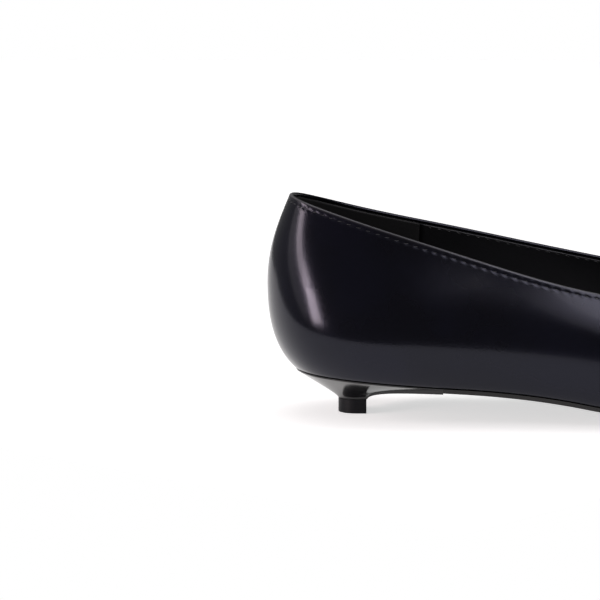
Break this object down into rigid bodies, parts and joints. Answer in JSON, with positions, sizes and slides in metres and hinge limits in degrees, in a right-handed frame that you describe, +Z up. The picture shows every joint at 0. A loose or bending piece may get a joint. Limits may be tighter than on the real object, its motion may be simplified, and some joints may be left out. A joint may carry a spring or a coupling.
{
  "type": "kitten heel pump",
  "caption": "Women's court shoe for the right foot with a low kitten heel, a soft pointed toe, a thin sole and an open collar that stands empty on heel and tread.",
  "frame": {"origin": "on the floor under the middle of the shoe's box", "axes": "+X towards the toe, +Y towards the inner (big toe) side of the right foot, +Z up from the floor"},
  "size_m": [0.256, 0.0791, 0.0734],
  "materials": {
    "upper_leather": "near-black navy polished calf, high gloss with a fine grain",
    "insole_sock": "matte black leather sock",
    "outsole_leather": "black-dyed sole leather, satin",
    "heel_lacquer": "black lacquered moulded heel, glossy",
    "top_piece_rubber": "black hard rubber, satin"
  },
  "bodies": {
    "root": {"upper": "upper_leather", "insole": "insole_sock", "outsole": "outsole_leather", "heel": "heel_lacquer", "top_piece": "top_piece_rubber"}
  },
  "joints": []
}
